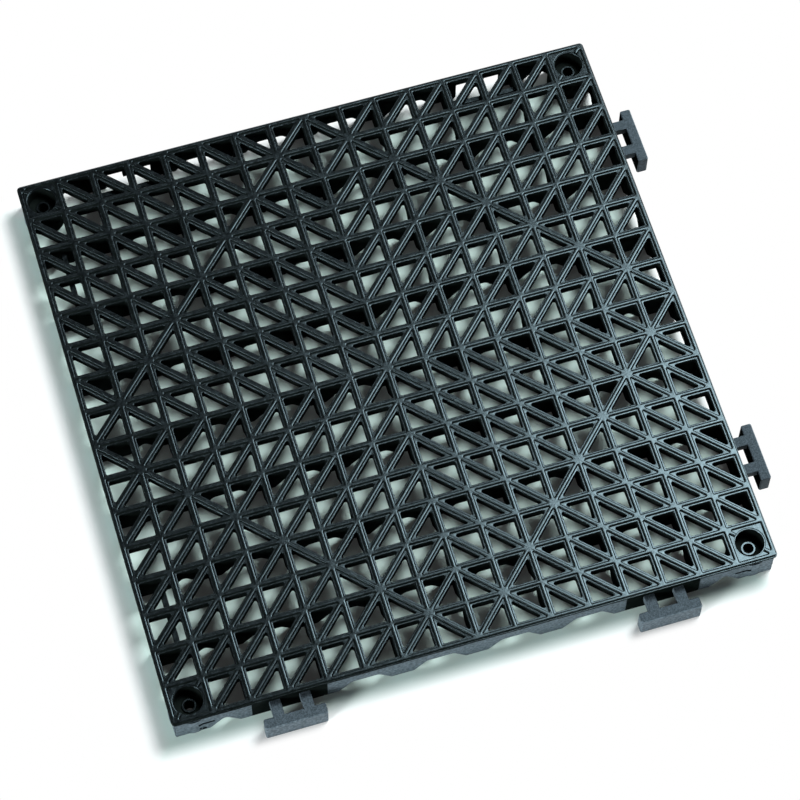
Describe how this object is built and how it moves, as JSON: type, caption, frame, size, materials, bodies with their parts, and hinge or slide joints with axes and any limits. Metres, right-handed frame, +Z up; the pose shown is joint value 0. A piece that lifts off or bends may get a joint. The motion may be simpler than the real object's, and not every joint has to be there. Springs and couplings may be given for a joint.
{
  "type": "garage floor tile",
  "caption": "Square open-grid floor tile with triangular drain holes, hook tabs on two sides, matching sockets on the other two and screw pads in the corners.",
  "frame": {"origin": "on the floor under the middle of the tile, at the foot of the middle crossing", "axes": "+Z up out of the walking surface; +X towards one side with tabs; +Y away from the other side with tabs, which faces -Y"},
  "size_m": [0.3172, 0.3172, 0.019],
  "materials": {
    "black_plastic": "moulded semi-matt black plastic with a fine grain"
  },
  "bodies": {
    "root": {"floor_tile": "black_plastic"}
  },
  "joints": []
}
